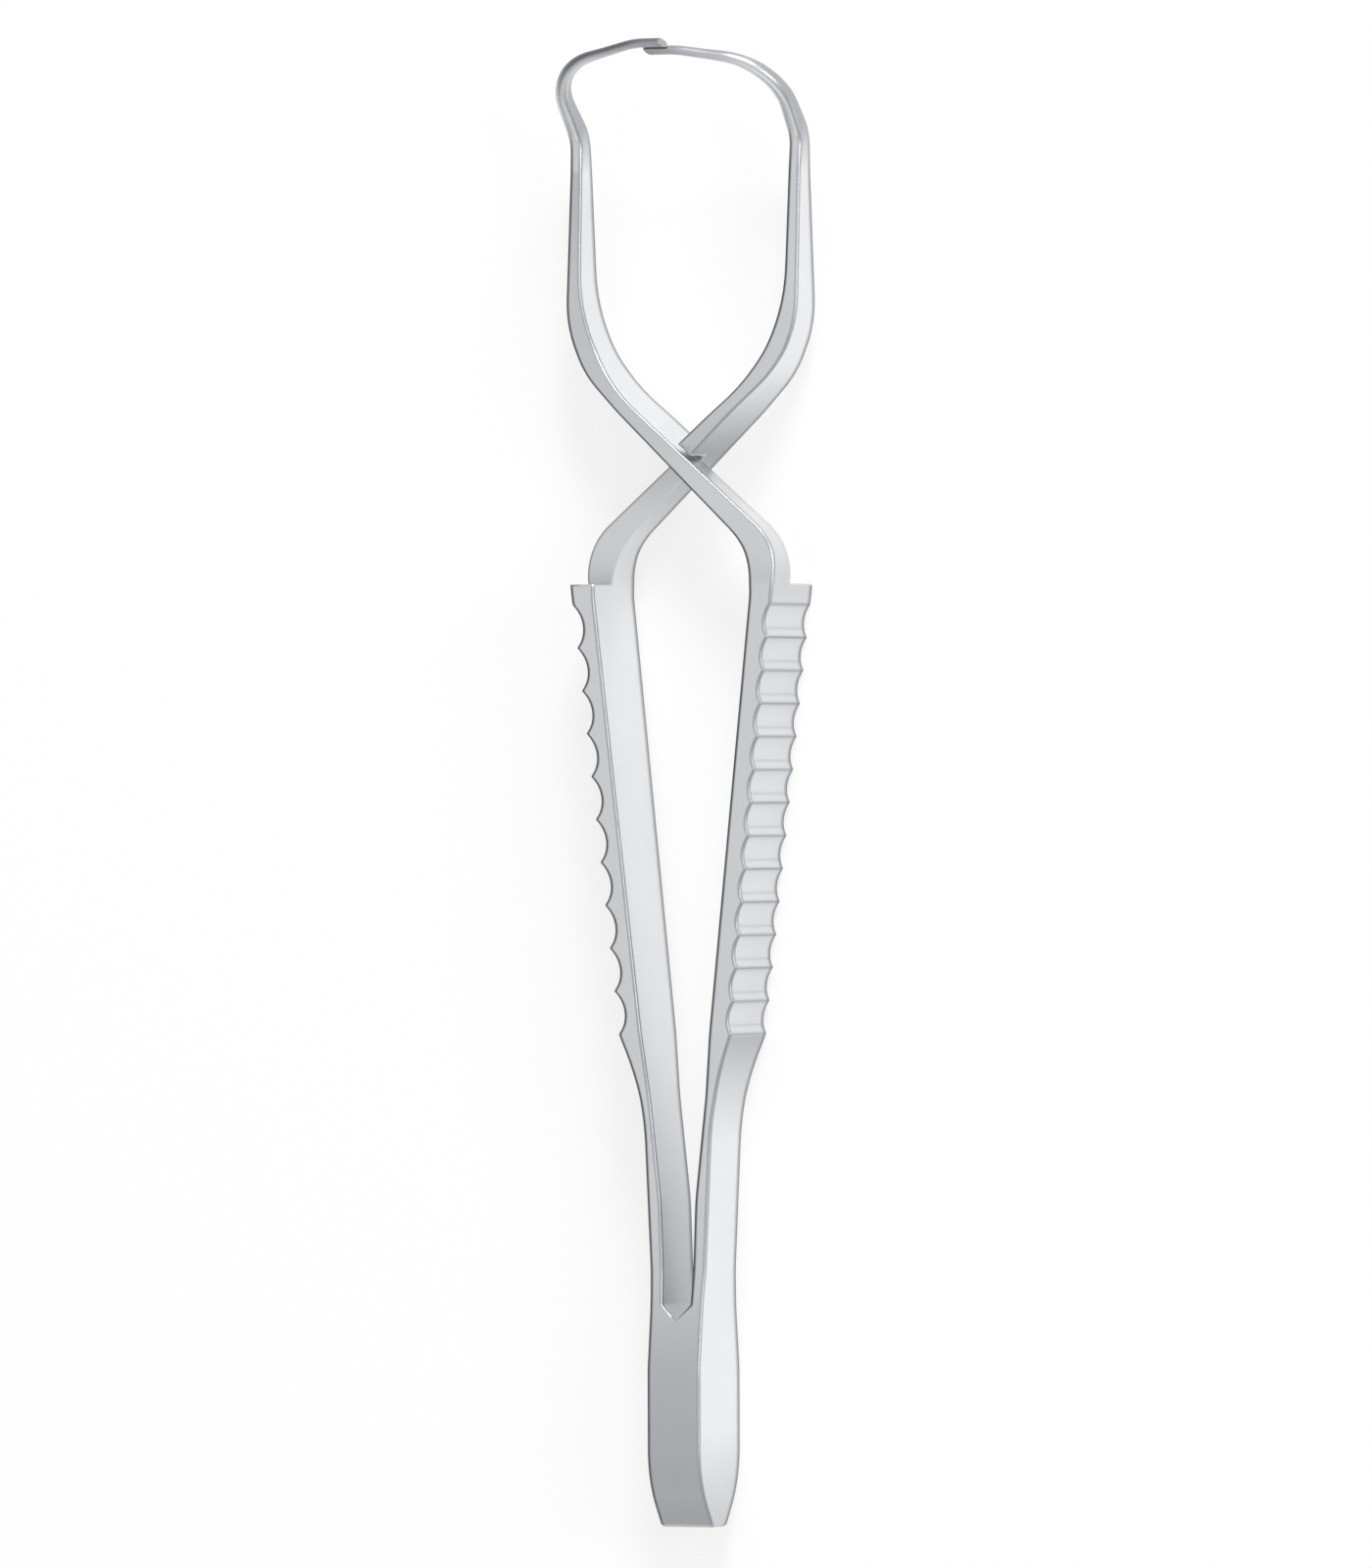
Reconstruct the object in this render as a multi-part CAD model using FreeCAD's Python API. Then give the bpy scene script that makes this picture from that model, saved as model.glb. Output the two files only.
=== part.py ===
import FreeCAD, Part
import math
import os
from FreeCAD import Vector

# Towel clamp of the pinless kind, in millimetres. Two forged steel arms, welded to each
# other at the butt, cross above the finger grips and end in hooked prongs that lap.
#
# Working frame: Y runs from the butt end to the tips, X is the arms' spread and Z their
# width, with Z = 0 in the middle of the width. Each arm is drawn with its grip at +X, so
# that its prong is at -X, and the left arm is mirrored. The finished pieces are then moved
# so that the clamp lies on its back on Z = 0, centred on X = 0 and Y = 0.

# Half the width of the two places that the clamp lies on: the butt and the grips' ends
lying_half_width = 2.95
edge_break = 0.13

# Butt: the welded end of both arms, with the V bottom of the slot between the legs
butt_length = 12.5
slot_vee_depth = 1.0
butt_end_half_width = 0.95
butt_end_round = 0.6
butt_shoulder_at = 2.86
butt_shoulder_radius = 6.0
butt_widest_to = 9.6

# The legs bend where they leave the butt. A cut this wide across each leg stands for that.
flex_gap = 0.08

# Legs
slot_width = 1.84
leg_thickness = 0.83
leg_half_width = 2.25
leg_full_width_past = 2.1
leg_bend_past = 6.3
leg_splay = 0.22
leg_length = 12.6
leg_bend_radius = 18.0
width_blend_radius = 6.0

# Flare from the leg to the grip
flare_length = 3.77
flare_thickness = 0.5
flare_radius = 18.0

# Grips
grip_length = 27.23
grip_start_out = 2.25
grip_start_round = 1.0
grip_thickness = 1.53
grip_lean = 0.11
grip_start_half_width = 2.6
plain_pad = 1.25
right_flute_count = 13
right_flute_depth = 0.3
left_flute_count = 10
left_flute_depth = 0.55

# Neck: the diagonal that crosses the other arm, cut to a half lap
neck_length = 14.1
neck_half_width = 2.4
grip_end_radius = 1.2
neck_width_radius = 3.0
neck_narrowing = 2.1
neck_outer_rise = 2.2
neck_outer_radius = 4.1
neck_inner_rise = 1.55
neck_inner_radius = 5.2
lap_plane = 0.32
lap_gap = 0.1
step_gap = 0.3

# Shank: the straight part of a prong
shank_length = 10.8
shank_inner = 6.76
shank_thickness = 0.98
shank_inner_radius = 11.0
shank_outer_radius = 7.5
shank_lean = 0.14
shank_half_width = 1.56
shank_narrowing = 3.7

# Hook: the prong past its shank, bent towards +Z and hooked in the bent plane. Its taper
# gives the distance along it, half thickness, half depth and corner radius.
hook_bend_past = 2.2
hook_bend_angle = math.radians(43)
hook_bend_radius = 2.0
hook_bulge = 0.165
hook_corner_past = 5.6
hook_radius = 4.0
tip_rise = 1.855
tip_level_from = 1.3
tip_level_radius = 5.0
tip_past_middle = 0.56
tip_gap = 0.1
tip_bevel = math.radians(42)
hook_taper = [
    (0.0, 0.385, 0.84, 0.15),
    (2.2, 0.410, 0.70, 0.22),
    (4.2, 0.455, 0.56, 0.32),
    (6.0, 0.450, 0.48, 0.38),
    (7.6, 0.410, 0.43, 0.36),
    (9.2, 0.340, 0.36, 0.31),
    (11.0, 0.285, 0.30, 0.26),
    (16.0, 0.250, 0.25, 0.22),
]
section_pitch = 1.1

# Stations along Y
legs_start = butt_length + slot_vee_depth
leg_bend_at = legs_start + leg_bend_past
leg_flare_at = legs_start + leg_length
grip_start = leg_flare_at + flare_length
grip_end = grip_start + grip_length
neck_outer_at = grip_end + neck_outer_rise
neck_inner_at = grip_end + neck_inner_rise
shank_start = grip_end + neck_length
shank_end = shank_start + shank_length
hook_bend_at = shank_end + hook_bend_past

# Places across the clamp
leg_outer = slot_width / 2 + leg_thickness
shank_end_inner = shank_inner + shank_lean
shank_end_half_thickness = hook_taper[0][1]
shank_end_half_width = hook_taper[0][2]
hook_start_out = shank_end_inner + shank_end_half_thickness

# Prisms and cutters reach this far past the clamp's middle, which is clear of all of it
far = 30.0

# Lengths below this count as nothing
tolerance = 0.01


def unit(vector):
    """The vector at length 1."""
    return vector * (1.0 / vector.Length)


def rounded_path(corners, closed):
    """Straight and arc edges through (x, y, radius) corners, in the plane Z = 0."""
    points = [Vector(x, y, 0) for x, y, radius in corners]
    count = len(points)
    stops = []
    for index, (x, y, radius) in enumerate(corners):
        corner = points[index]
        if radius == 0:
            stops.append([corner])
            continue
        back = unit(points[index - 1] - corner)
        ahead = unit(points[(index + 1) % count] - corner)
        half = back.getAngle(ahead) / 2
        reach = radius / math.tan(half)
        centre = corner + unit(back + ahead) * (radius / math.sin(half))
        middle = centre + unit(corner - centre) * radius
        stops.append([corner + back * reach, middle, corner + ahead * reach])
    edges = []
    for index, stop in enumerate(stops):
        if len(stop) == 3:
            edges.append(Part.Arc(*stop).toShape())
        if closed or index + 1 < count:
            following = stops[(index + 1) % count]
            edges.append(Part.LineSegment(stop[-1], following[0]).toShape())
    return Part.Wire(edges)


def plan_prism(corners):
    """The outline seen along Z, as a prism through the whole width."""
    face = Part.Face(rounded_path(corners, True))
    face.translate(Vector(0, 0, -far))
    return face.extrude(Vector(0, 0, 2 * far))


def width_prism(half_widths):
    """The outline seen along X, from (y, half width, radius) corners, as a prism."""
    mirrored = [(y, -half, radius) for y, half, radius in reversed(half_widths)]
    face = Part.Face(rounded_path(half_widths + mirrored, True))
    face.rotate(Vector(0, 0, 0), Vector(1, 1, 1), 120)
    face.translate(Vector(-far, 0, 0))
    return face.extrude(Vector(2 * far, 0, 0))


def long_edges(solid, first_y, last_y):
    """The edges that run along the piece, clear of its end faces at first_y and last_y."""
    chosen = []
    for edge in solid.Edges:
        box = edge.BoundBox
        runs_along = box.YLength > tolerance
        if runs_along and box.YMax > first_y and box.YMin < last_y:
            chosen.append(edge)
    return chosen


def grip_inner(y):
    """X of the grip's inner face."""
    return grip_start_out + grip_lean * (y - grip_start)


def grip_outer(y):
    """X of the line along the crests of the grip's outer face."""
    return grip_inner(y) + grip_thickness


def arm_plan(first_y):
    """The arm's outline seen along Z, from the leg's root to the end of the shank."""
    return [
        (leg_outer, first_y, 0),
        (grip_inner(leg_flare_at) + flare_thickness, leg_flare_at, flare_radius),
        (grip_outer(grip_start), grip_start, grip_start_round),
        (grip_outer(neck_outer_at), neck_outer_at, neck_outer_radius),
        (-shank_inner, shank_start, shank_inner_radius),
        (-shank_end_inner, shank_end, 0),
        (-shank_end_inner - 2 * shank_end_half_thickness, shank_end, 0),
        (-shank_inner - shank_thickness, shank_start, shank_outer_radius),
        (grip_inner(neck_inner_at), neck_inner_at, neck_inner_radius),
        (slot_width / 2 + leg_splay, leg_bend_at, leg_bend_radius),
        (slot_width / 2, first_y, 0),
    ]


def butt_half_widths():
    """Half the width along the butt and on to the legs."""
    return [
        (butt_widest_to, lying_half_width, width_blend_radius),
        (legs_start + leg_full_width_past, leg_half_width, width_blend_radius),
    ]


def arm_half_widths():
    """Half the width from the butt to the end of the shank."""
    return [
        (butt_shoulder_at, lying_half_width, 0),
        *butt_half_widths(),
        (leg_flare_at, leg_half_width, width_blend_radius),
        (grip_start, grip_start_half_width, width_blend_radius),
        (grip_end, lying_half_width, grip_end_radius),
        (grip_end + neck_narrowing, neck_half_width, neck_width_radius),
        (shank_start - shank_narrowing, neck_half_width, neck_width_radius),
        (shank_start, shank_half_width, neck_width_radius),
        (shank_end, shank_end_half_width, 0),
    ]


def make_butt():
    """The welded block, rounded to a narrow end, with the bottom of the slot in its top."""
    plan = [
        (-leg_outer, 0, 0),
        (leg_outer, 0, 0),
        (leg_outer, legs_start, 0),
        (slot_width / 2, legs_start, 0),
        (0, butt_length, 0),
        (-slot_width / 2, legs_start, 0),
        (-leg_outer, legs_start, 0),
    ]
    widths = [
        (0, butt_end_half_width, butt_end_round),
        (butt_shoulder_at, lying_half_width, butt_shoulder_radius),
        *butt_half_widths(),
        (leg_flare_at, leg_half_width, 0),
    ]
    block = plan_prism(plan).common(width_prism(widths))
    return block.makeChamfer(edge_break, long_edges(block, 0, butt_length))


def make_bar(first_y):
    """The arm as a bent bar, from the leg to the end of the shank, before any cutting."""
    bar = plan_prism(arm_plan(first_y)).common(width_prism(arm_half_widths()))
    return bar.makeChamfer(edge_break, long_edges(bar, first_y + tolerance, shank_end - tolerance))


def bend_at(along):
    """Y, Z and angle of the prong's flat pattern at this length, carried round its bend."""
    start = hook_bend_at - hook_bend_radius * math.tan(hook_bend_angle / 2)
    angle = min(max(along - start, 0) / hook_bend_radius, hook_bend_angle)
    straight_before = min(along, start)
    straight_after = max(along - start - hook_bend_radius * hook_bend_angle, 0)
    y = straight_before + hook_bend_radius * math.sin(angle) + straight_after * math.cos(angle)
    z = hook_bend_radius * (1 - math.cos(angle)) + straight_after * math.sin(angle)
    return y, z, angle


def tip_lengths():
    """Lengths along the flat pattern of the upper and the lower tip's middle lines."""
    upper = hook_bend_at + hook_corner_past + tip_rise
    lower = upper - 2 * hook_taper[-1][1] - tip_gap
    return upper, lower


def walk(path, distance):
    """The point and the direction at this distance along the path."""
    for edge in path.OrderedEdges:
        if distance <= edge.Length + tolerance:
            place = edge.getParameterByLength(min(distance, edge.Length))
            return edge.valueAt(place), unit(edge.tangentAt(place))
        distance -= edge.Length
    raise ValueError("the distance is past the end of the path")


def tapered(distance):
    """The hook's half thickness, half depth and corner radius at a distance along it."""
    for before, after in zip(hook_taper, hook_taper[1:]):
        if distance <= after[0]:
            share = (distance - before[0]) / (after[0] - before[0])
            return [a + (b - a) * share for a, b in zip(before[1:], after[1:])]
    return list(hook_taper[-1][1:])


def hook_section(path, distance, bevel=0.0):
    """The hook's section at a distance along its flat path, set at the bevel's angle."""
    half_thickness, half_depth, corner = tapered(distance)
    point, along = walk(path, distance)
    y, z, angle = bend_at(point.y)
    forward = Vector(-along.x, along.y * math.cos(angle), along.y * math.sin(angle))
    outward = Vector(-along.y, -along.x * math.cos(angle), -along.x * math.sin(angle))
    lift = Vector(0, -math.sin(angle), math.cos(angle))
    across = outward * math.cos(bevel) + forward * math.sin(bevel)
    half_across = half_thickness / math.cos(bevel)
    wire = rounded_path(
        [
            (half_across, half_depth, corner),
            (-half_across, half_depth, corner),
            (-half_across, -half_depth, corner),
            (half_across, -half_depth, corner),
        ],
        True,
    )
    turn = FreeCAD.Rotation(across, lift, across.cross(lift), "XYZ")
    wire.Placement = FreeCAD.Placement(Vector(-point.x, y, z), turn)
    return wire


def make_hook(tip_length, bevel):
    """The prong past its shank: tapered, rounded, bent towards +Z, hooked and bevelled."""
    path = rounded_path(
        [
            (hook_start_out, shank_end, 0),
            (hook_start_out + hook_bulge, hook_bend_at + hook_corner_past, hook_radius),
            (tip_level_from, tip_length, tip_level_radius),
            (-tip_past_middle, tip_length, 0),
        ],
        False,
    )
    steps = round(path.Length / section_pitch)
    pitch = path.Length / steps
    sections = [hook_section(path, index * pitch) for index in range(steps)]
    sections.append(hook_section(path, path.Length, bevel))
    return Part.makeLoft(sections, True, False)


def lap_cutter(over):
    """What a half lap takes away: the lower half of the arm that passes over, or the upper."""
    neck_start = Vector(-grip_outer(neck_outer_at), neck_outer_at, 0)
    neck_end = Vector(shank_inner, shank_start, 0)
    run = unit(neck_end - neck_start)
    step = Vector(-run.y, run.x, 0) * step_gap
    start = neck_start + step
    end = neck_end + step
    cutter = plan_prism(
        [
            (start.x, start.y, 0),
            (start.x, grip_end, 0),
            (far, grip_end, 0),
            (far, end.y, 0),
            (end.x, end.y, 0),
        ]
    )
    slab = Part.makeBox(2 * far, 2 * shank_start, far)
    if over:
        slab.translate(Vector(-far, 0, lap_plane + lap_gap / 2 - far))
    else:
        slab.translate(Vector(-far, 0, lap_plane - lap_gap / 2))
    return cutter.common(slab)


def flute_cutters(count, depth):
    """Round grooves across the grip's outer face, with sharp crests between them."""
    pitch = (grip_length - plain_pad) / count
    crest_pitch = pitch * math.hypot(1, grip_lean)
    radius = (crest_pitch ** 2 / 4 + depth ** 2) / (2 * depth)
    outward = unit(Vector(1, -grip_lean, 0))
    cutters = []
    for index in range(count):
        y = grip_start + pitch * (index + 0.5)
        centre = Vector(grip_outer(y), y, -far) + outward * (radius - depth)
        cutters.append(Part.makeCylinder(radius, 2 * far, centre))
    return cutters


def make_arm(over, flute_count, flute_depth):
    """One whole arm, drawn with its grip at +X and its prong at -X."""
    upper_tip, lower_tip = tip_lengths()
    if over:
        hook = make_hook(upper_tip, -tip_bevel)
    else:
        hook = make_hook(lower_tip, tip_bevel)
    arm = make_bar(legs_start + flex_gap).fuse(hook)
    arm = arm.cut(lap_cutter(over))
    arm = arm.cut(flute_cutters(flute_count, flute_depth))
    return arm.Solids[0]


def main():
    """Make every piece, lay it on its back and write it."""
    right_arm = make_arm(True, right_flute_count, right_flute_depth)
    left_arm = make_arm(False, left_flute_count, left_flute_depth)
    left_arm = left_arm.mirror(Vector(0, 0, 0), Vector(1, 0, 0))
    pieces = {"butt": make_butt(), "right_arm": right_arm, "left_arm": left_arm}
    os.makedirs("parts", exist_ok=True)
    overall_length = right_arm.optimalBoundingBox().YMax
    for name, piece in pieces.items():
        piece.translate(Vector(0, -overall_length / 2, lying_half_width))
        piece.exportStep("parts/" + name + ".step")
        print(name, len(piece.Solids), "solid", round(piece.Volume, 1), "mm3")


main()
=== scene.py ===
"""Towel clamp, pinless, in satin stainless steel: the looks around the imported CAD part.

Each arm is one continuous skin of rings, from its half of the welded butt to the tip of
its prong, so that the leg can bend. Lengths here are in millimetres in the arm's own frame:
y from the butt end, z from the middle of the width, the grip at +x. The skins are then put
into the row frame in metres, where the clamp lies on its back.
"""

import math

import bmesh
import bpy
import numpy as np
from mathutils import Matrix, Vector


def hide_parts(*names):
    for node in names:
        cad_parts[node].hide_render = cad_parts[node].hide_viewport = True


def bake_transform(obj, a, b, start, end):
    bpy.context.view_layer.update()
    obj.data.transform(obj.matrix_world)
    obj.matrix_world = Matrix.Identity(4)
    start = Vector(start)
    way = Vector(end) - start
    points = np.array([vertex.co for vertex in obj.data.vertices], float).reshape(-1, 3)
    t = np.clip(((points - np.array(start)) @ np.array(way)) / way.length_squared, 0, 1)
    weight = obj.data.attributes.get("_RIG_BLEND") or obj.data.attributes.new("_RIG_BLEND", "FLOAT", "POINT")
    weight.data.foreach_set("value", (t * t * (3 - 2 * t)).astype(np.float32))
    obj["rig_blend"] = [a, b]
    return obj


MM = 0.001

# Points this near each other are one and an edge this short is none, in metres
WELD_WITHIN = 2e-7
NO_LENGTH = 1e-8

# Whole object
LENGTH = 89.99
LYING_HALF_WIDTH = 2.95

# Butt and legs
BUTT_LENGTH = 12.5
LEGS_START = 13.5
SLOT_HALF = 0.92
LEG_OUTER = 1.75
SEAM_RUN = 1.0
BENDING_ENDS_BEFORE_GRIP = 1

# Grips
GRIP_START = 29.87
GRIP_END = 57.1
GRIP_START_OUT = 2.25
GRIP_LEAN = 0.11
GRIP_THICKNESS = 1.53
FLUTED_LENGTH = 25.98
RIGHT_FLUTE_COUNT = 13
RIGHT_FLUTE_DEPTH = 0.3
LEFT_FLUTE_COUNT = 10
LEFT_FLUTE_DEPTH = 0.55
CREST_RADIUS = 0.09
CREST_LINE = 0.09
# Painted shade on the flutes: a dark line at each crest, a soft shade below each crest, a fainter line
# across each flute and an even darkening over the fluted face
CREST_TONE = 0.45
FLUTE_SHADE_TONE = 0.2
SHADE_LINE_AT = 0.27
CREST_SHADE_RUN = 0.12
FLUTE_TONE = 0.16
TONE_OVERRUN = 0.05
FACE_WITHIN = 0.01

# Neck and shank
NECK_OUTER_AT = 59.3
NECK_INNER_AT = 58.65
SHANK_START = 71.2
SHANK_END = 82.0
SHANK_INNER = 6.76

# Half lap of the crossing
LAP_PLANE = 0.32
LAP_GAP = 0.1
STEP_GAP = 0.3
CUTTER_REACH = 14.0
SHOULDER_CLEAR = 0.16
LAP_MARGIN = 0.5
LAP_JOIN_WITHIN = 0.03
LAP_NO_LENGTH = 0.001
LAP_EDGE_ANGLE = math.radians(60)
LAP_EDGE_RADIUS = 0.04
LAP_EDGE_STEPS = 2
# Painted shade along the lap's rounded edges, lighter on the plain side
LAP_EDGE_TONE = 0.6
LAP_PLAIN_TONE = 0.15
LAP_FACE_AREA = 0.8

# Hook
HOOK_BEND_AT = 84.2
HOOK_BEND_ANGLE = math.radians(43)
HOOK_BEND_RADIUS = 2.0
HOOK_START_OUT = 7.285
HOOK_CORNER_AT = 89.8
HOOK_FLARE = 0.165
HOOK_CORNER_RADIUS = 4.0
HOOK_TOP_OUT = 1.3
HOOK_TOP_RADIUS = 5.0
TIP_PAST_MIDDLE = 0.56
TIP_LENGTH_UPPER = 91.655
TIP_LENGTH_LOWER = 91.055
TIP_BEVEL = math.radians(42)
BEVEL_RUN = 1.1
HOOK_PITCH = 0.3
HOOK_ARC_POINTS = 40
HOOK_LOOK_AHEAD = 0.05

# The prong's half thickness, half depth and corner radius, by the length past the shank
HOOK_TAPER = [
    (0.0, 0.385, 0.84, 0.15),
    (2.2, 0.410, 0.70, 0.22),
    (4.2, 0.455, 0.56, 0.32),
    (6.0, 0.450, 0.48, 0.38),
    (7.6, 0.410, 0.43, 0.36),
    (9.2, 0.340, 0.36, 0.31),
    (11.0, 0.285, 0.30, 0.26),
    (16.0, 0.250, 0.25, 0.22),
]

# Painted shade, as (y, share) along each arm: on the low side, the high side and the two
# wide faces. It lies on the butt, in the slot, at the shoulders and at the lap.
BUTT_PAINTED_SHADE = [(0, 0.46), (5, 0.4), (10, 0.32), (15, 0.1), (20, 0)]
SLOT_PAINTED_SHADE = [(12, 0.3), (17, 0.22), (23, 0.1), (29, 0)]
OUTER_PAINTED_SHADE = [(0, 0.36), (3.5, 0.18), (6, 0), (23.5, 0), (27, 0.28), (29.7, 0.55), (29.9, 0)]
NECK_OUTER_PAINTED_SHADE = [(55.8, 0), (56, 0.25), (57.2, 0.3), (59.5, 0.12), (62, 0)]
RIGHT_ARM_PAINTED_SHADE = {
    "low": SLOT_PAINTED_SHADE,
    "high": OUTER_PAINTED_SHADE + NECK_OUTER_PAINTED_SHADE,
    "wide": BUTT_PAINTED_SHADE
    + [(57, 0), (57.2, 0.12), (59, 0), (63, 0), (66, 0.08), (75, 0.14), (80, 0.25)],
}
LEFT_ARM_PAINTED_SHADE = {
    "low": SLOT_PAINTED_SHADE + [(60, 0), (65, 0.65), (66.8, 0.4), (68.4, 0.14), (70, 0.04), (72, 0)],
    "high": OUTER_PAINTED_SHADE + NECK_OUTER_PAINTED_SHADE,
    "wide": BUTT_PAINTED_SHADE
    + [(57, 0), (57.2, 0.3), (59, 0), (60.5, 0), (63, 0.3), (68, 0.1), (70, 0)],
}
# Painted shade on the lap's cut faces, as (y, share)
LAP_PAINTED_SHADE = [(57.1, 0.3), (58.3, 0.06), (59.5, 0), (61.5, 0.02), (63, 0.14), (65, 0.32)]
NO_PAINTED_SHADE = {"wide": 0.0, "low": 0.0, "high": 0.0}

# How dark the painted lines of shade along the hook's margins are, and how dark its tip is
HOOK_MARGIN = 0.2
HOOK_MARGIN_STARTS_OVER = 3
HOOK_TIP_TONE = 0.6
HOOK_TIP_FADE = 6.5

# Rounding of the long edges, and how far the painted lines of shade along them fade into the faces
EDGE_RADIUS = 0.15
RADIUS_SHARE = 0.3
FULL_LINE_RADIUS = 0.1
PLAIN_CORNER_TONE = 0.62
PLAIN_FADE = 0.07
WIDE_FACE_FADE = 0.11
LOWER_FADE = 0.5
FADE_SHARE = 0.3

# Points of a ring. The mid level of the deep faces keeps clear of the lap's plane.
ARC_STEPS = 4
FACE_STEPS_ACROSS = 5
FACE_STEPS_DEEP = 7
# The faces in the order of a ring's points, from the high upper corner on
SIDES = ("wide", "low", "wide", "high")

# Where the rings stand along y: everywhere, closer as (from, to, step), and in a flute
RING_STEP = 0.5
CLOSER_RINGS = (
    (0, 0.6, 0.04),
    (0.6, 6, 0.25),
    (8, 12, 0.25),
    (12, 14.2, 0.08),
    (14, 30, 0.25),
    (28, 30.4, 0.1),
    (56, 60.4, 0.07),
    (60, 62.5, 0.15),
    (66, 75, 0.2),
)
HALF_FLUTE_RINGS = (0, 0.02, 0.045, 0.08, 0.14, 0.19, 0.23, 0.27, 0.33, 0.41, 0.5)

# Smooth shading
SHARP_ANGLE = math.radians(38)
FLAT_FACE_WEIGHT = 50

# Steel: tones and roughness by the grain, and what the painted shade does to both
STEEL_DARK = (0.79, 0.80, 0.815, 1)
STEEL_LIGHT = (0.865, 0.87, 0.88, 1)
FINE_GRAIN_SHARE = 0.45
ROUGHNESS_LOW = 0.24
ROUGHNESS_HIGH = 0.38
EDGE_TINT = (0.26, 0.27, 0.29, 1)
EDGE_ROUGHER = 0.16

# Camera, as the photograph has it
CAMERA_DISTANCE = 1.0
FRAME_HEIGHT = 0.0950
SENSOR = 36.0
CAMERA_TILT = math.radians(25)
CAMERA_ROLL = math.radians(0.17)
FRAME_SHIFT = 0.353 * MM

# Floor
FLOOR_REACH = 3.0
FLOOR_TONE = 0.93
FLOOR_WHITE_SEEN = 0.75
FLOOR_WHITE_MIRRORED = 0.56

# Studio: its levels from left to right and from the horizon up, and the lamps as
# name, place, size and watts
STUDIO_ACROSS = [(-1, 0.10), (-0.75, 0.25), (-0.42, 0.645), (0, 0.65), (0.5, 0.6), (1, 0.5)]
STUDIO_HEIGHT = [(0, 0.35), (0.3, 0.8), (0.6, 1.0)]
STUDIO_TINT = (0.99, 1.0, 1.01, 1)
LAMPS = (
    ("key", (0.32, 0.85, 0.55), 0.28, 8.0),
    ("side", (0.85, 0.15, 0.5), 0.35, 2.5),
    ("fill", (-0.15, -0.85, 0.45), 0.45, 0.3),
)


def rounded_line(corners, arc_points=14):
    """Points of a line through (y, value, radius) corners, with its corners as arcs."""
    points = []
    for index, (y, value, radius) in enumerate(corners):
        here = np.array([y, value])
        if radius == 0:
            points.append(here)
            continue
        before = np.array(corners[index - 1][:2]) - here
        after = np.array(corners[index + 1][:2]) - here
        before = before / np.linalg.norm(before)
        after = after / np.linalg.norm(after)
        half = math.acos(np.clip(before @ after, -1, 1)) / 2
        if half > math.pi / 2 - 1e-4:
            points.append(here)
            continue
        middle = before + after
        centre = here + middle / np.linalg.norm(middle) * radius / math.sin(half)
        first = here + before * radius / math.tan(half) - centre
        last = here + after * radius / math.tan(half) - centre
        sweep = math.atan2(first[0] * last[1] - first[1] * last[0], first @ last)
        for share in np.linspace(0, 1, arc_points):
            c, s = math.cos(sweep * share), math.sin(sweep * share)
            points.append(centre + [first[0] * c - first[1] * s, first[0] * s + first[1] * c])
    return np.array(points)


def reader(corners):
    """The line as a function of y."""
    line = rounded_line(corners)
    return lambda y: float(np.interp(y, line[:, 0], line[:, 1]))


def grip_inner(y):
    """The straight line of the grip's inner face."""
    return GRIP_START_OUT + GRIP_LEAN * (y - GRIP_START)


def grip_outer(y):
    """The straight line of the grip's outer face, over the crests."""
    return grip_inner(y) + GRIP_THICKNESS


# The arm's outlines, as (y, value, corner radius)
outer_side = reader(
    [
        (0, 0, 0),
        (0, LEG_OUTER, 0.22),
        (LEGS_START, LEG_OUTER, 40),
        (26.1, 2.335, 18),
        (GRIP_START, grip_outer(GRIP_START), 1),
        (NECK_OUTER_AT, grip_outer(NECK_OUTER_AT), 4.1),
        (SHANK_START, -SHANK_INNER, 11),
        (SHANK_END, -6.9, 0),
    ]
)
inner_side = reader(
    [
        (0, 0, 0),
        (BUTT_LENGTH, 0, 0),
        (LEGS_START, SLOT_HALF, 0.25),
        (19.8, 1.14, 18),
        (NECK_INNER_AT, grip_inner(NECK_INNER_AT), 5.2),
        (SHANK_START, -7.74, 7.5),
        (SHANK_END, -7.67, 0),
    ]
)
half_width = reader(
    [
        (0, 0, 0),
        (0, 0.95, 0.6),
        (2.86, LYING_HALF_WIDTH, 6),
        (9.6, LYING_HALF_WIDTH, 6),
        (15.6, 2.25, 6),
        (26.1, 2.25, 6),
        (GRIP_START, 2.6, 6),
        (GRIP_END, LYING_HALF_WIDTH, 1.2),
        (59.2, 2.4, 3),
        (67.5, 2.4, 3),
        (SHANK_START, 1.56, 3),
        (SHANK_END, 0.84, 0),
    ]
)


def flute_tone(y, count):
    """The painted shade on the outer face there: a line at each crest, a soft shade below it, and a fainter
    line across the flute.
    """
    place = (y - GRIP_START) / FLUTED_LENGTH * count
    if place < -TONE_OVERRUN or place > count + TONE_OVERRUN:
        return 0.0
    pitch = FLUTED_LENGTH / count
    above = (place - math.floor(place)) * pitch
    from_crest = min(above, pitch - above)
    line = CREST_TONE * math.exp(-((from_crest / CREST_LINE) ** 2))
    from_line = above - SHADE_LINE_AT * pitch
    shade_line = FLUTE_SHADE_TONE * math.exp(-((from_line / CREST_LINE) ** 2))
    below_crest = FLUTE_SHADE_TONE * math.exp(-(pitch - above) / (CREST_SHADE_RUN * pitch))
    return FLUTE_TONE + line + shade_line + below_crest


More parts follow.
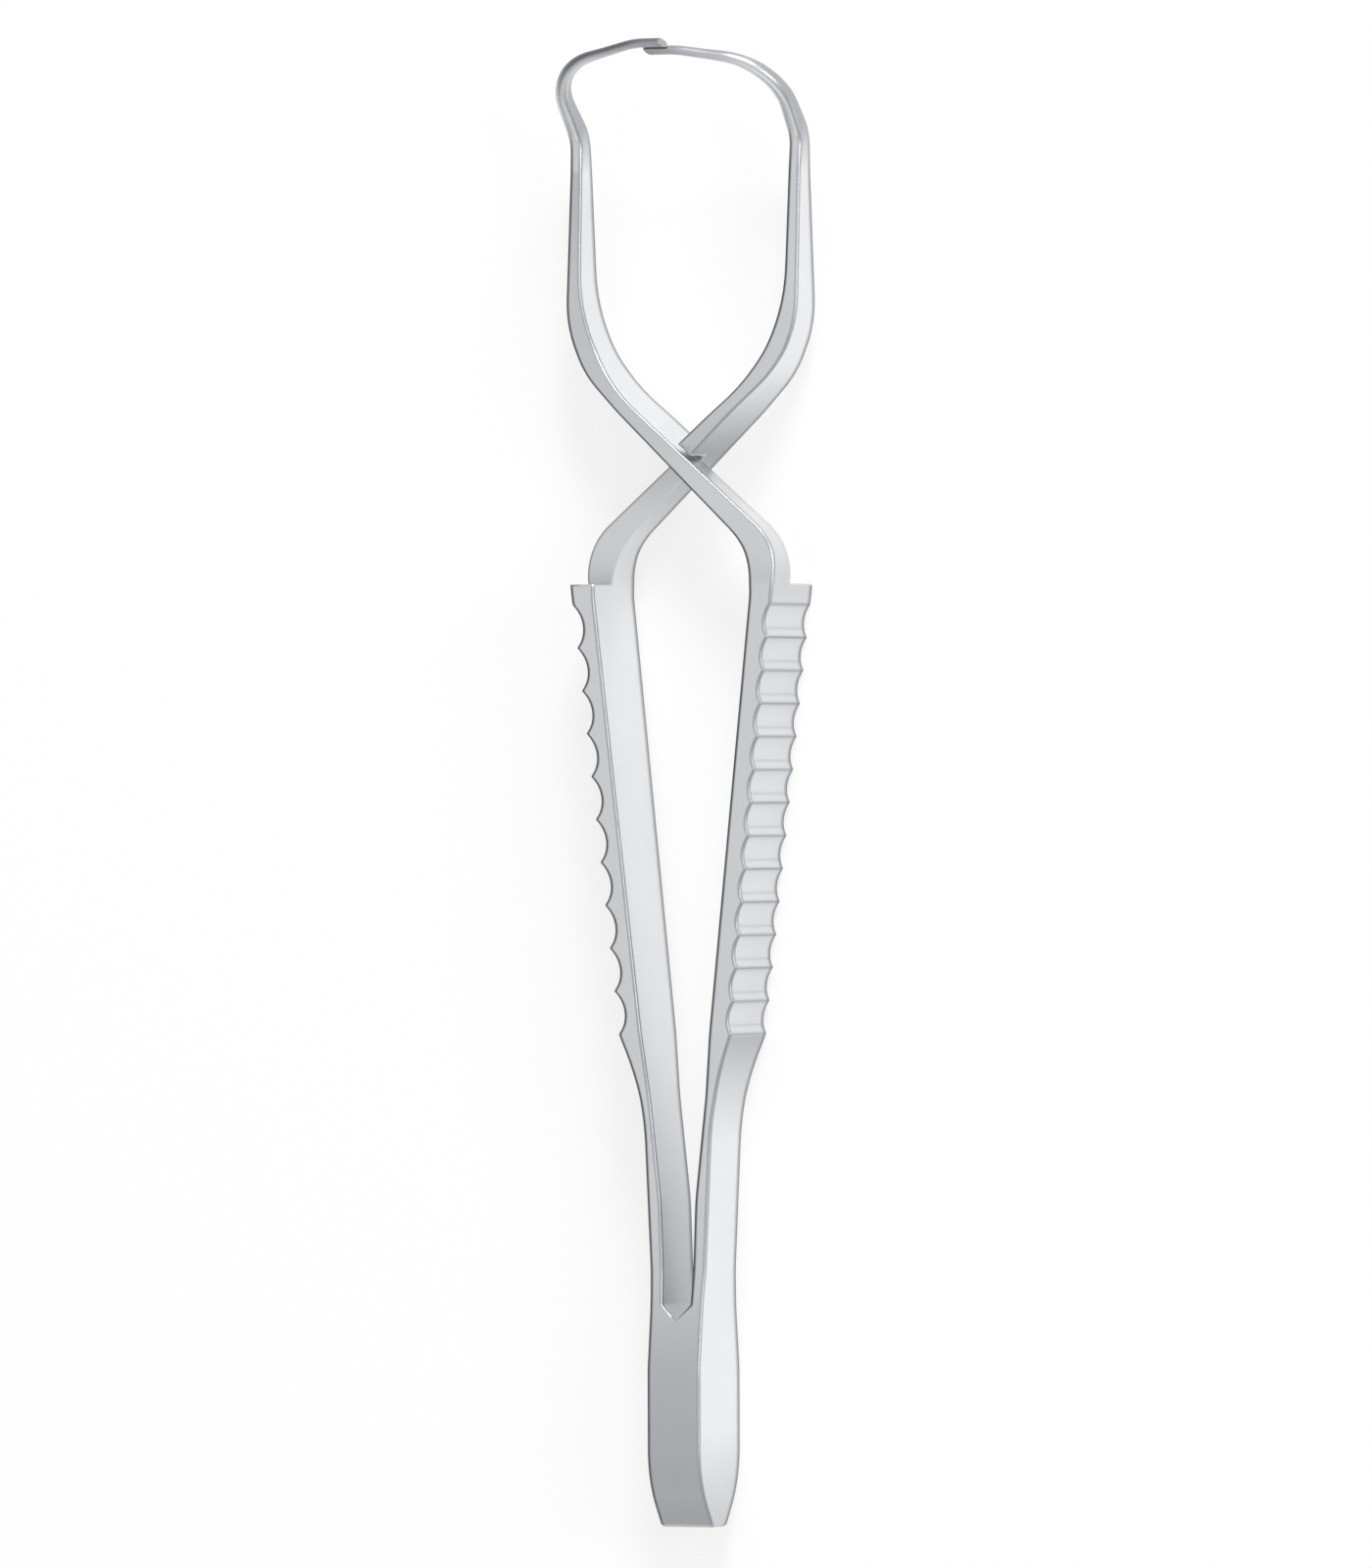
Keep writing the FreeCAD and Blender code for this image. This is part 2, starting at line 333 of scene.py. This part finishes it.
def flute_depth_at(y, count, depth):
    """How far the outer face lies below the line of the crests."""
    place = (y - GRIP_START) / FLUTED_LENGTH * count
    if place < 0 or place > count:
        return 0.0
    pitch = FLUTED_LENGTH / count * math.hypot(1, GRIP_LEAN)
    radius = (pitch**2 / 4 + depth**2) / (2 * depth)
    off = (place - math.floor(place) - 0.5) * pitch
    from_crest = pitch / 2 - abs(off)
    slope = math.asin(pitch / 2 / radius)
    reach = CREST_RADIUS * math.sin(slope)
    if from_crest < reach:
        lift = CREST_RADIUS / math.cos(slope)
        return lift - math.sqrt(CREST_RADIUS**2 - from_crest**2)
    return depth - radius + math.sqrt(radius**2 - off**2)


def stations(flute_count):
    """Where the rings stand along y."""
    found = {BUTT_LENGTH, LEGS_START, GRIP_START, SHANK_START, SHANK_END}
    for first, last, step in ((0, SHANK_END, RING_STEP),) + CLOSER_RINGS:
        found |= set(np.round(np.arange(first, last, step), 3))
    # At the shoulder the lap's cut makes its own corner.
    found = {y for y in found if abs(y - GRIP_END) > SHOULDER_CLEAR}
    found = {y for y in found if not GRIP_START < y < GRIP_START + FLUTED_LENGTH}
    pitch = FLUTED_LENGTH / flute_count
    shares = list(HALF_FLUTE_RINGS)
    shares += [1 - share for share in reversed(shares[1:-1])]
    for index in range(flute_count):
        crest = GRIP_START + pitch * index
        found |= {round(crest + pitch * share, 4) for share in shares}
    found.add(round(GRIP_START + FLUTED_LENGTH, 4))
    return sorted(found)


def edge_fade(face, corner, plain_corner):
    """How far a corner's painted line of shade fades into a face. Corners 0 and 1 are the upper ones."""
    if corner == plain_corner or (SIDES[face] != "wide" and corner < 2):
        return PLAIN_FADE
    return WIDE_FACE_FADE if SIDES[face] == "wide" else LOWER_FADE


def section(low, high, half, low_radius, high_radius, shade_share, plain_corner):
    """A rectangle with rounded corners, as (x, z) points and each one's share of painted shade, which also
    makes it duller.
    """
    corners = (
        (high - high_radius, half - high_radius, high_radius),
        (low + low_radius, half - low_radius, low_radius),
        (low + low_radius, low_radius - half, low_radius),
        (high - high_radius, high_radius - half, high_radius),
    )
    arcs = []
    for quarter, (x, z, radius) in enumerate(corners):
        turns = [math.pi / 2 * (quarter + step / ARC_STEPS) for step in range(ARC_STEPS + 1)]
        arcs.append([(x + radius * math.cos(t), z + radius * math.sin(t)) for t in turns])
    points, edge = [], []
    for index, arc in enumerate(arcs):
        # Painted shade: a dark line along each rounded corner, lighter at the plain corner
        sharp = min(1.0, corners[index][2] / FULL_LINE_RADIUS)
        if index == plain_corner:
            sharp *= PLAIN_CORNER_TONE
        points += arc
        edge += [max(sharp, shade_share["wide"])] * len(arc)
        start, end = np.array(arc[-1]), np.array(arcs[(index + 1) % 4][0])
        span = max(np.linalg.norm(end - start), 1e-6)
        steps = FACE_STEPS_DEEP if index % 2 else FACE_STEPS_ACROSS
        first = min(edge_fade(index, index, plain_corner) / span, FADE_SHARE)
        last = 1 - min(edge_fade(index, (index + 1) % 4, plain_corner) / span, FADE_SHARE)
        for share in np.linspace(first, last, steps):
            points.append(tuple(start + (end - start) * share))
            edge.append(shade_share[SIDES[index]])
    return points, edge


def body_rings(flute_count, flute_depth, shade_lines, plain_corner):
    """Rings at constant y, from the butt end to the end of the shank."""
    rings = []
    for y in stations(flute_count):
        low = inner_side(y)
        depth = flute_depth_at(y, flute_count, flute_depth)
        high = outer_side(y) - depth
        half = half_width(y)
        radius = min(EDGE_RADIUS, RADIUS_SHARE * min(high - low, 2 * half))
        low_radius = radius * float(np.clip((y - BUTT_LENGTH) / SEAM_RUN, 0, 1))
        # Painted shade on each face at this y
        shade_share = {side: float(np.interp(y, *zip(*line))) for side, line in shade_lines.items()}
        points, edge = section(low, high, half, low_radius, radius, shade_share, plain_corner)
        # Painted shade of the flutes, on the outer face only
        groove = flute_tone(y, flute_count)
        place = [Vector((x, y, z)) for x, z in points]
        grain = [Vector((x - low, z, y)) for x, z in points]
        on_face = [x > high - FACE_WITHIN for x, z in points]
        edge = [max(tone, groove * here) for tone, here in zip(edge, on_face)]
        rings.append((place, grain, edge))
    return rings


def bend_at(along):
    """Y, z and angle of the prong's flat pattern at this length, carried round its bend."""
    start = HOOK_BEND_AT - HOOK_BEND_RADIUS * math.tan(HOOK_BEND_ANGLE / 2)
    angle = min(max(along - start, 0) / HOOK_BEND_RADIUS, HOOK_BEND_ANGLE)
    before = min(along, start)
    after = max(along - start - HOOK_BEND_RADIUS * HOOK_BEND_ANGLE, 0)
    y = before + HOOK_BEND_RADIUS * math.sin(angle) + after * math.cos(angle)
    z = HOOK_BEND_RADIUS * (1 - math.cos(angle)) + after * math.sin(angle)
    return y, z, angle


def prong_path(tip_length):
    """The prong's flat middle line, as (along, out) points, and the length up to each."""
    path = rounded_line(
        [
            (SHANK_END, HOOK_START_OUT, 0),
            (HOOK_CORNER_AT, HOOK_START_OUT + HOOK_FLARE, HOOK_CORNER_RADIUS),
            (tip_length, HOOK_TOP_OUT, HOOK_TOP_RADIUS),
            (tip_length, -TIP_PAST_MIDDLE, 0),
        ],
        HOOK_ARC_POINTS,
    )
    pieces = np.linalg.norm(np.diff(path, axis=0), axis=1)
    return path, np.concatenate([[0], np.cumsum(pieces)])


def prong_axes(path, walked, distance):
    """The prong's centre at this distance, and its forward, outward and upward directions."""
    along = np.interp(distance, walked, path[:, 0])
    out = np.interp(distance, walked, path[:, 1])
    near = [distance - HOOK_LOOK_AHEAD, min(distance + HOOK_LOOK_AHEAD, walked[-1])]
    ahead = [np.diff(np.interp(near, walked, path[:, axis]))[0] for axis in (1, 0)]
    across_path, up_path = np.array(ahead) / np.linalg.norm(ahead)
    y, z, angle = bend_at(along)
    c, s = math.cos(angle), math.sin(angle)
    forward = Vector((-across_path, up_path * c, up_path * s))
    outward = Vector((-up_path, -across_path * c, -across_path * s))
    return Vector((-out, y, z)), forward, outward, Vector((0, -s, c))


def hook_tone(across, thick, from_tip, plain_corner):
    """How dark the hook is at a point: a painted line of shade along both margins, and all of the tip."""
    margin = max(0.0, 1 - (thick - abs(across)) / HOOK_MARGIN)
    is_plain = across < 0 if plain_corner else across > 0
    if is_plain:
        margin *= PLAIN_CORNER_TONE
    return max(margin, HOOK_TIP_TONE * (1 - from_tip / HOOK_TIP_FADE))


def hook_rings(tip_length, bevel, plain_corner):
    """Rings along the prong past its shank, bent towards +z, hooked and bevelled."""
    path, walked = prong_path(tip_length)
    taper_at, *taper = zip(*HOOK_TAPER)
    steps = round(walked[-1] / HOOK_PITCH)
    rings = []
    for step in range(1, steps + 1):
        distance = walked[-1] * step / steps
        from_tip = walked[-1] - distance
        centre, forward, outward, upward = prong_axes(path, walked, distance)
        lean = bevel * max(0.0, 1 - from_tip / BEVEL_RUN)
        across = outward * math.cos(lean) + forward * math.sin(lean)
        thick, deep, radius = (np.interp(distance, taper_at, column) for column in taper)
        thick /= math.cos(lean)
        points, edge = section(-thick, thick, deep, radius, radius, NO_PAINTED_SHADE, plain_corner)
        place = [centre - across * a + upward * b for a, b in points]
        grain = [Vector((a + thick, b, SHANK_END + distance)) for a, b in points]
        hooked = min(1.0, distance / HOOK_MARGIN_STARTS_OVER)
        for index, (a, _) in enumerate(points):
            tone = hook_tone(a, thick, from_tip, plain_corner)
            edge[index] += hooked * (tone - edge[index])
        rings.append((place, grain, edge))
    return rings


def in_row(x, y, z, mirrored):
    """A place in the arm's own frame, in millimetres, as a place in the row frame."""
    side = -1 if mirrored else 1
    return side * x * MM, (y - LENGTH / 2) * MM, (z + LYING_HALF_WIDTH) * MM


def own_place(vert, mirrored):
    """A point's x and y in the arm's own frame, in millimetres."""
    side = -1 if mirrored else 1
    return side * vert.co.x / MM, vert.co.y / MM + LENGTH / 2


def new_object(name, rows, faces):
    """A mesh object in the scene."""
    mesh = bpy.data.meshes.new(name)
    mesh.from_pydata(rows, [], faces)
    obj = bpy.data.objects.new(name, mesh)
    bpy.context.scene.collection.objects.link(obj)
    return obj


def skin(name, rings, mirrored):
    """One closed mesh over the rings, with each point's grain and edge values kept on it."""
    count = len(rings[0][0])
    points, grain, edge, faces = [], [], [], []
    for place, straight, edging in rings:
        points += place
        grain += straight
        edge += edging
    for ring in range(len(rings) - 1):
        for index in range(count):
            following = (index + 1) % count
            first, second = ring * count, (ring + 1) * count
            faces.append((first + index, first + following, second + following, second + index))
    faces.append(tuple(reversed(range(count))))
    faces.append(tuple(range(len(points) - count, len(points))))
    obj = new_object(name, [in_row(*point, mirrored) for point in points], faces)
    layer = obj.data.attributes.new("grain", "FLOAT_VECTOR", "POINT")
    layer.data.foreach_set("vector", [value for p in grain for value in p])
    layer = obj.data.attributes.new("edge", "FLOAT", "POINT")
    layer.data.foreach_set("value", edge)
    clean(obj)
    return obj


def clean(obj):
    """Join points that fall on each other and turn every face outwards."""
    work = bmesh.new()
    work.from_mesh(obj.data)
    bmesh.ops.remove_doubles(work, verts=work.verts, dist=WELD_WITHIN)
    bmesh.ops.dissolve_degenerate(work, edges=work.edges, dist=NO_LENGTH)
    bmesh.ops.recalc_face_normals(work, faces=work.faces)
    work.to_mesh(obj.data)
    work.free()


def lap_cutter(over, mirrored):
    """What a half lap takes away, as a prism."""
    start = np.array([-grip_outer(NECK_OUTER_AT), NECK_OUTER_AT])
    end = np.array([SHANK_INNER, SHANK_START])
    run = (end - start) / np.linalg.norm(end - start)
    step = np.array([-run[1], run[0]]) * STEP_GAP
    start, end = start + step, end + step
    outline = [
        start,
        (start[0], GRIP_END),
        (CUTTER_REACH, GRIP_END),
        (CUTTER_REACH, end[1]),
        end,
    ]
    if over:
        low, high = -CUTTER_REACH, LAP_PLANE + LAP_GAP / 2
    else:
        low, high = LAP_PLANE - LAP_GAP / 2, CUTTER_REACH
    rows = [in_row(x, y, z, mirrored) for z in (low, high) for x, y in outline]
    count = len(outline)
    faces = [tuple(range(count)), tuple(range(count, 2 * count))]
    for index in range(count):
        following = (index + 1) % count
        faces.append((index, following, count + following, count + index))
    obj = new_object("lap_cutter", rows, faces)
    clean(obj)
    return obj


def cut(obj, cutter):
    """Take the cutter away from the object, and the cutter away from the scene."""
    modifier = obj.modifiers.new("lap", "BOOLEAN")
    modifier.operation = "DIFFERENCE"
    modifier.solver = "EXACT"
    modifier.object = cutter
    bpy.context.view_layer.update()
    made = bpy.data.meshes.new_from_object(
        obj.evaluated_get(bpy.context.evaluated_depsgraph_get())
    )
    obj.modifiers.clear()
    obj.data = made
    bpy.data.objects.remove(cutter)


def round_lap(obj, mirrored, plain_corner):
    """Break the sharp edges that the lap's cut left, and paint shade along them and on the cut faces."""
    low = in_row(0, GRIP_END - LAP_MARGIN, 0, mirrored)[1]
    high = in_row(0, SHANK_START, 0, mirrored)[1]
    work = bmesh.new()
    work.from_mesh(obj.data)
    bmesh.ops.remove_doubles(work, verts=work.verts, dist=LAP_JOIN_WITHIN * MM)
    bmesh.ops.dissolve_degenerate(work, edges=work.edges, dist=LAP_NO_LENGTH * MM)
    sharp = [
        edge
        for edge in work.edges
        if len(edge.link_faces) == 2
        and edge.is_convex
        and edge.calc_face_angle(0) > LAP_EDGE_ANGLE
        and all(low < vert.co.y < high for vert in edge.verts)
    ]
    made = bmesh.ops.bevel(
        work,
        geom=sharp,
        offset=LAP_EDGE_RADIUS * MM,
        offset_type="OFFSET",
        segments=LAP_EDGE_STEPS,
        profile=0.5,
        affect="EDGES",
        clamp_overlap=False,
    )
    layer = work.verts.layers.float["edge"]
    # Painted shade along the new rounded edges
    for vert in made["verts"]:
        x, y = own_place(vert, mirrored)
        is_plain = (2 * x < inner_side(y) + outer_side(y)) == bool(plain_corner)
        vert[layer] = LAP_PLAIN_TONE if is_plain else LAP_EDGE_TONE
    cut_faces = [
        face
        for face in work.faces
        if face.calc_area() > LAP_FACE_AREA * MM**2
        and low < face.calc_center_median().y < high
    ]
    bmesh.ops.inset_individual(work, faces=cut_faces, thickness=WIDE_FACE_FADE * MM)
    # Painted shade on the cut faces, from the lap's table
    for face in cut_faces:
        for vert in face.verts:
            y = own_place(vert, mirrored)[1]
            vert[layer] = float(np.interp(y, *zip(*LAP_PAINTED_SHADE)))
    bmesh.ops.triangulate(work, faces=cut_faces, ngon_method="BEAUTY")
    work.to_mesh(obj.data)
    work.free()


def smooth(obj):
    """Smooth shading that breaks at real edges and leaves flat faces flat."""
    mesh = obj.data
    mesh.polygons.foreach_set("use_smooth", [True] * len(mesh.polygons))
    mesh.set_sharp_from_angle(angle=SHARP_ANGLE)
    modifier = obj.modifiers.new("flat faces", "WEIGHTED_NORMAL")
    modifier.mode = "FACE_AREA"
    modifier.weight = FLAT_FACE_WEIGHT
    modifier.keep_sharp = True


def make_arm(name, body, over, mirrored, flute_count, flute_depth, shade_lines):
    """One arm with its half of the butt. Its upper edge that faces right is the plain one."""
    tip_length = TIP_LENGTH_UPPER if over else TIP_LENGTH_LOWER
    bevel = -TIP_BEVEL if over else TIP_BEVEL
    plain_corner = 1 if mirrored else 0
    rings = body_rings(flute_count, flute_depth, shade_lines, plain_corner)
    rings += hook_rings(tip_length, bevel, plain_corner)
    arm = skin(name, rings, mirrored)
    cut(arm, lap_cutter(over, mirrored))
    round_lap(arm, mirrored, plain_corner)
    smooth(arm)
    middle, legs_start, z = in_row((SLOT_HALF + LEG_OUTER) / 2, LEGS_START, 0, mirrored)
    legs_end = in_row(0, GRIP_START - BENDING_ENDS_BEFORE_GRIP, 0, mirrored)[1]
    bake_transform(arm, "butt", body, start=(middle, legs_start, z), end=(middle, legs_end, z))
    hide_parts(body, "butt")
    return arm


def node(tree, kind, **values):
    """A shader node with its settings."""
    made = tree.nodes.new(kind)
    for key, value in values.items():
        setattr(made, key, value)
    return made


def steel_grain(tree):
    """Fine noise drawn out along the arms, and the same with a broad cloudiness mixed in."""
    grain = node(tree, "ShaderNodeAttribute", attribute_name="grain")
    stretch = node(tree, "ShaderNodeMapping")
    stretch.inputs["Scale"].default_value = (14.0, 14.0, 0.9)
    tree.links.new(grain.outputs["Vector"], stretch.inputs["Vector"])
    fine = node(tree, "ShaderNodeTexNoise")
    fine.inputs["Scale"].default_value = 1.0
    fine.inputs["Detail"].default_value = 6.0
    fine.inputs["Roughness"].default_value = 0.62
    tree.links.new(stretch.outputs["Vector"], fine.inputs["Vector"])
    broad = node(tree, "ShaderNodeTexNoise")
    broad.inputs["Scale"].default_value = 0.22
    broad.inputs["Detail"].default_value = 3.0
    tree.links.new(grain.outputs["Vector"], broad.inputs["Vector"])
    share = node(tree, "ShaderNodeMath", operation="MULTIPLY")
    share.inputs[1].default_value = 1 - FINE_GRAIN_SHARE
    tree.links.new(broad.outputs["Fac"], share.inputs[0])
    mixed = node(tree, "ShaderNodeMath", operation="MULTIPLY_ADD")
    mixed.inputs[1].default_value = FINE_GRAIN_SHARE
    tree.links.new(fine.outputs["Fac"], mixed.inputs[0])
    tree.links.new(share.outputs[0], mixed.inputs[2])
    return fine.outputs["Fac"], mixed.outputs[0]


def steel_tone(tree, mixed, edge):
    """The steel's colour: a little livelier with the grain, and darker where shade is painted: at the edges,
    on the flutes and in the shaded zones.
    """
    tone = node(tree, "ShaderNodeValToRGB")
    tone.color_ramp.elements[0].position = 0.3
    tone.color_ramp.elements[0].color = STEEL_DARK
    tone.color_ramp.elements[1].position = 0.7
    tone.color_ramp.elements[1].color = STEEL_LIGHT
    tree.links.new(mixed, tone.inputs["Fac"])
    # Painted shade: the edge attribute darkens the colour towards the tint
    darker = node(tree, "ShaderNodeMix", data_type="RGBA", blend_type="MULTIPLY")
    darker.inputs["B"].default_value = EDGE_TINT
    tree.links.new(edge, darker.inputs["Factor"])
    tree.links.new(tone.outputs["Color"], darker.inputs["A"])
    return darker.outputs["Result"]


def steel_roughness(tree, mixed, edge):
    """The steel's roughness: uneven with the grain, and duller at the edges."""
    rough = node(tree, "ShaderNodeMapRange")
    rough.inputs["From Min"].default_value = 0.25
    rough.inputs["From Max"].default_value = 0.75
    rough.inputs["To Min"].default_value = ROUGHNESS_LOW
    rough.inputs["To Max"].default_value = ROUGHNESS_HIGH
    tree.links.new(mixed, rough.inputs["Value"])
    duller = node(tree, "ShaderNodeMath", operation="MULTIPLY_ADD", use_clamp=True)
    duller.inputs[1].default_value = EDGE_ROUGHER
    tree.links.new(edge, duller.inputs[0])
    tree.links.new(rough.outputs[0], duller.inputs[2])
    return duller.outputs[0]


def steel():
    """Satin stainless steel, with its grain along the arms, painted shade at its edges and in its shaded
    zones, and those places duller.
    """
    material = bpy.data.materials.new("satin_steel")
    material.use_nodes = True
    tree = material.node_tree
    shader = tree.nodes["Principled BSDF"]
    shader.inputs["Metallic"].default_value = 1.0
    shader.inputs["Specular IOR Level"].default_value = 0.5
    # The edge attribute holds the painted shade
    edge = node(tree, "ShaderNodeAttribute", attribute_name="edge").outputs["Fac"]
    fine, mixed = steel_grain(tree)
    tree.links.new(steel_tone(tree, mixed, edge), shader.inputs["Base Color"])
    tree.links.new(steel_roughness(tree, mixed, edge), shader.inputs["Roughness"])
    bump = node(tree, "ShaderNodeBump")
    bump.inputs["Strength"].default_value = 0.25
    bump.inputs["Distance"].default_value = 0.02 * MM
    tree.links.new(fine, bump.inputs["Height"])
    tree.links.new(bump.outputs["Normal"], shader.inputs["Normal"])
    return material


def seen_directly(tree):
    """The floor's share of plain white: most to the camera, less in what the steel mirrors."""
    path = node(tree, "ShaderNodeLightPath")
    total = None
    for kind, share in (
        ("Is Camera Ray", FLOOR_WHITE_SEEN),
        ("Is Glossy Ray", FLOOR_WHITE_MIRRORED),
        ("Is Transmission Ray", FLOOR_WHITE_MIRRORED),
    ):
        added = node(tree, "ShaderNodeMath", operation="MULTIPLY_ADD", use_clamp=True)
        added.inputs[1].default_value = share
        added.inputs[2].default_value = 0.0
        tree.links.new(path.outputs[kind], added.inputs[0])
        if total is not None:
            tree.links.new(total, added.inputs[2])
        total = added.outputs[0]
    return total


def make_floor():
    """A pale floor that shows white and keeps the object's shadow."""
    corners = [(-1, -1), (1, -1), (1, 1), (-1, 1)]
    rows = [(FLOOR_REACH * x, FLOOR_REACH * y, 0) for x, y in corners]
    floor = new_object("floor", rows, [(0, 1, 2, 3)])
    material = bpy.data.materials.new("floor_white")
    material.use_nodes = True
    tree = material.node_tree
    tree.nodes.clear()
    output = node(tree, "ShaderNodeOutputMaterial")
    matt = node(tree, "ShaderNodeBsdfDiffuse")
    matt.inputs["Color"].default_value = (FLOOR_TONE, FLOOR_TONE, FLOOR_TONE, 1)
    white = node(tree, "ShaderNodeEmission")
    white.inputs["Color"].default_value = (1, 1, 1, 1)
    white.inputs["Strength"].default_value = 1.0
    both = node(tree, "ShaderNodeMixShader")
    tree.links.new(seen_directly(tree), both.inputs["Fac"])
    tree.links.new(matt.outputs[0], both.inputs[1])
    tree.links.new(white.outputs[0], both.inputs[2])
    tree.links.new(both.outputs[0], output.inputs["Surface"])
    floor.data.materials.append(material)


def ramp(tree, stops):
    """A value that follows the (place, level) stops, from -1 to 1: its input and its output."""
    share = node(tree, "ShaderNodeMapRange")
    share.inputs["From Min"].default_value = -1.0
    levels = node(tree, "ShaderNodeFloatCurve")
    curve = levels.mapping.curves[0]
    for place, level in stops[1:-1]:
        curve.points.new((place + 1) / 2, level)
    curve.points[0].location = ((stops[0][0] + 1) / 2, stops[0][1])
    curve.points[len(stops) - 1].location = ((stops[-1][0] + 1) / 2, stops[-1][1])
    levels.mapping.update()
    tree.links.new(share.outputs[0], levels.inputs["Value"])
    return share.inputs["Value"], levels.outputs[0]


def make_world():
    """White to the camera, and a soft studio to everything else."""
    world = bpy.data.worlds.new("studio")
    world.use_nodes = True
    bpy.context.scene.world = world
    tree = world.node_tree
    tree.nodes.clear()
    output = node(tree, "ShaderNodeOutputWorld")
    place = node(tree, "ShaderNodeTexCoord")
    parts = node(tree, "ShaderNodeSeparateXYZ")
    tree.links.new(place.outputs["Generated"], parts.inputs["Vector"])
    level = node(tree, "ShaderNodeMath", operation="MULTIPLY")
    for index, (axis, stops) in enumerate((("X", STUDIO_ACROSS), ("Z", STUDIO_HEIGHT))):
        ramp_in, ramp_out = ramp(tree, stops)
        tree.links.new(parts.outputs[axis], ramp_in)
        tree.links.new(ramp_out, level.inputs[index])
    soft = node(tree, "ShaderNodeBackground")
    soft.inputs["Color"].default_value = STUDIO_TINT
    tree.links.new(level.outputs[0], soft.inputs["Strength"])
    white = node(tree, "ShaderNodeBackground")
    white.inputs["Color"].default_value = (1, 1, 1, 1)
    path = node(tree, "ShaderNodeLightPath")
    both = node(tree, "ShaderNodeMixShader")
    tree.links.new(path.outputs["Is Camera Ray"], both.inputs["Fac"])
    tree.links.new(soft.outputs[0], both.inputs[1])
    tree.links.new(white.outputs[0], both.inputs[2])
    tree.links.new(both.outputs[0], output.inputs["Surface"])


def make_lamp(name, place, size, watts):
    """A soft square lamp that looks at the object."""
    data = bpy.data.lights.new(name, "AREA")
    data.shape = "SQUARE"
    data.size = size
    data.energy = watts
    lamp = bpy.data.objects.new(name, data)
    bpy.context.scene.collection.objects.link(lamp)
    lamp.location = place
    lamp.rotation_mode = "QUATERNION"
    lamp.rotation_quaternion = (-Vector(place)).to_track_quat("-Z", "Y")


def make_camera():
    """The photograph's view: from above, 25 degrees to the right, with a long lens."""
    right = Vector((math.cos(CAMERA_TILT), 0, -math.sin(CAMERA_TILT)))
    back = Vector((math.sin(CAMERA_TILT), 0, math.cos(CAMERA_TILT)))
    up = Vector((0, 1, 0))
    turned_right = right * math.cos(CAMERA_ROLL) - up * math.sin(CAMERA_ROLL)
    turned_up = up * math.cos(CAMERA_ROLL) + right * math.sin(CAMERA_ROLL)
    data = bpy.data.cameras.new("camera")
    data.sensor_width = SENSOR
    data.lens = SENSOR * CAMERA_DISTANCE / FRAME_HEIGHT
    data.clip_start = 0.05
    data.clip_end = 20
    camera = bpy.data.objects.new("camera", data)
    bpy.context.scene.collection.objects.link(camera)
    target = Vector((0, 0, LYING_HALF_WIDTH * MM)) - right * FRAME_SHIFT
    place = target + back * CAMERA_DISTANCE
    axes = Matrix((turned_right, turned_up, back)).transposed().to_4x4()
    camera.matrix_world = Matrix.Translation(place) @ axes
    bpy.context.scene.camera = camera


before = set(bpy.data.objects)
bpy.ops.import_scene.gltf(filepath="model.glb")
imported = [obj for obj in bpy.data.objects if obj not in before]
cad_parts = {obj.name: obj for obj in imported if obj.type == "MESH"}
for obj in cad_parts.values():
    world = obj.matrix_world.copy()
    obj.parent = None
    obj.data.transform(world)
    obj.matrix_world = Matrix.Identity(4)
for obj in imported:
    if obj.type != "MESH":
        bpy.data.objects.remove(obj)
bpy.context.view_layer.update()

make_camera()
make_world()
make_floor()
for lamp in LAMPS:
    make_lamp(*lamp)

satin_steel = steel()
arms = [
    make_arm(
        "right_arm_steel",
        "right_arm",
        over=True,
        mirrored=False,
        flute_count=RIGHT_FLUTE_COUNT,
        flute_depth=RIGHT_FLUTE_DEPTH,
        shade_lines=RIGHT_ARM_PAINTED_SHADE,
    ),
    make_arm(
        "left_arm_steel",
        "left_arm",
        over=False,
        mirrored=True,
        flute_count=LEFT_FLUTE_COUNT,
        flute_depth=LEFT_FLUTE_DEPTH,
        shade_lines=LEFT_ARM_PAINTED_SHADE,
    ),
]
for arm in arms:
    arm.data.materials.clear()
    arm.data.materials.append(satin_steel)

bpy.context.scene.view_settings.view_transform = "Standard"
